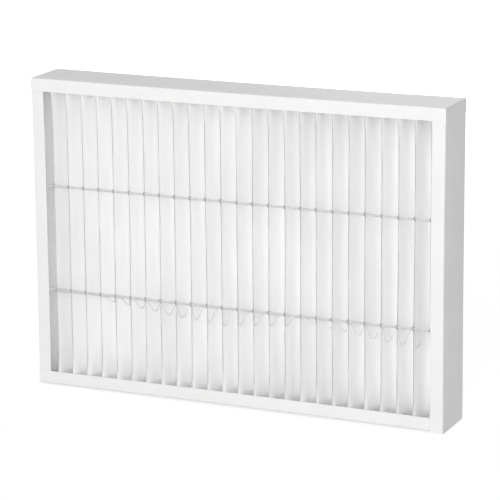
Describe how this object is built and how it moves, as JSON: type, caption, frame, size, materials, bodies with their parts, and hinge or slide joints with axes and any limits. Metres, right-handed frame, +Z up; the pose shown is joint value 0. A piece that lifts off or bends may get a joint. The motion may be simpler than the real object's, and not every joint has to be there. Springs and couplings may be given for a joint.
{
  "type": "pleated panel air filter",
  "caption": "Rectangular panel air filter: a deep-pleated white sheet medium sealed in a frame of folded board channels, with glue threads across the fold tips.",
  "frame": {"origin": "middle of the footprint, on the surface that the filter stands on", "axes": "+X across the panel, to the right when the inlet face is looked at; +Y through the depth, from the inlet face to the outlet face; +Z up, along the pleats"},
  "size_m": [0.345, 0.045, 0.25],
  "materials": {
    "board": "smooth matte white coated board",
    "filter_medium": "soft matte white nonwoven, slightly translucent",
    "glue_thread": "set glue, satin, slightly translucent grey",
    "sealant": "set glue, satin off-white"
  },
  "bodies": {
    "root": {"frame_top_rail": "board", "frame_bottom_rail": "board", "frame_left_post": "board", "frame_right_post": "board", "pleated_media": "filter_medium", "inlet_upper_thread": "glue_thread", "inlet_lower_thread": "glue_thread", "outlet_upper_thread": "glue_thread", "outlet_lower_thread": "glue_thread", "loose_strand": "glue_thread", "top_sealant": "sealant", "bottom_sealant": "sealant", "left_sealant": "sealant", "right_sealant": "sealant"}
  },
  "joints": []
}
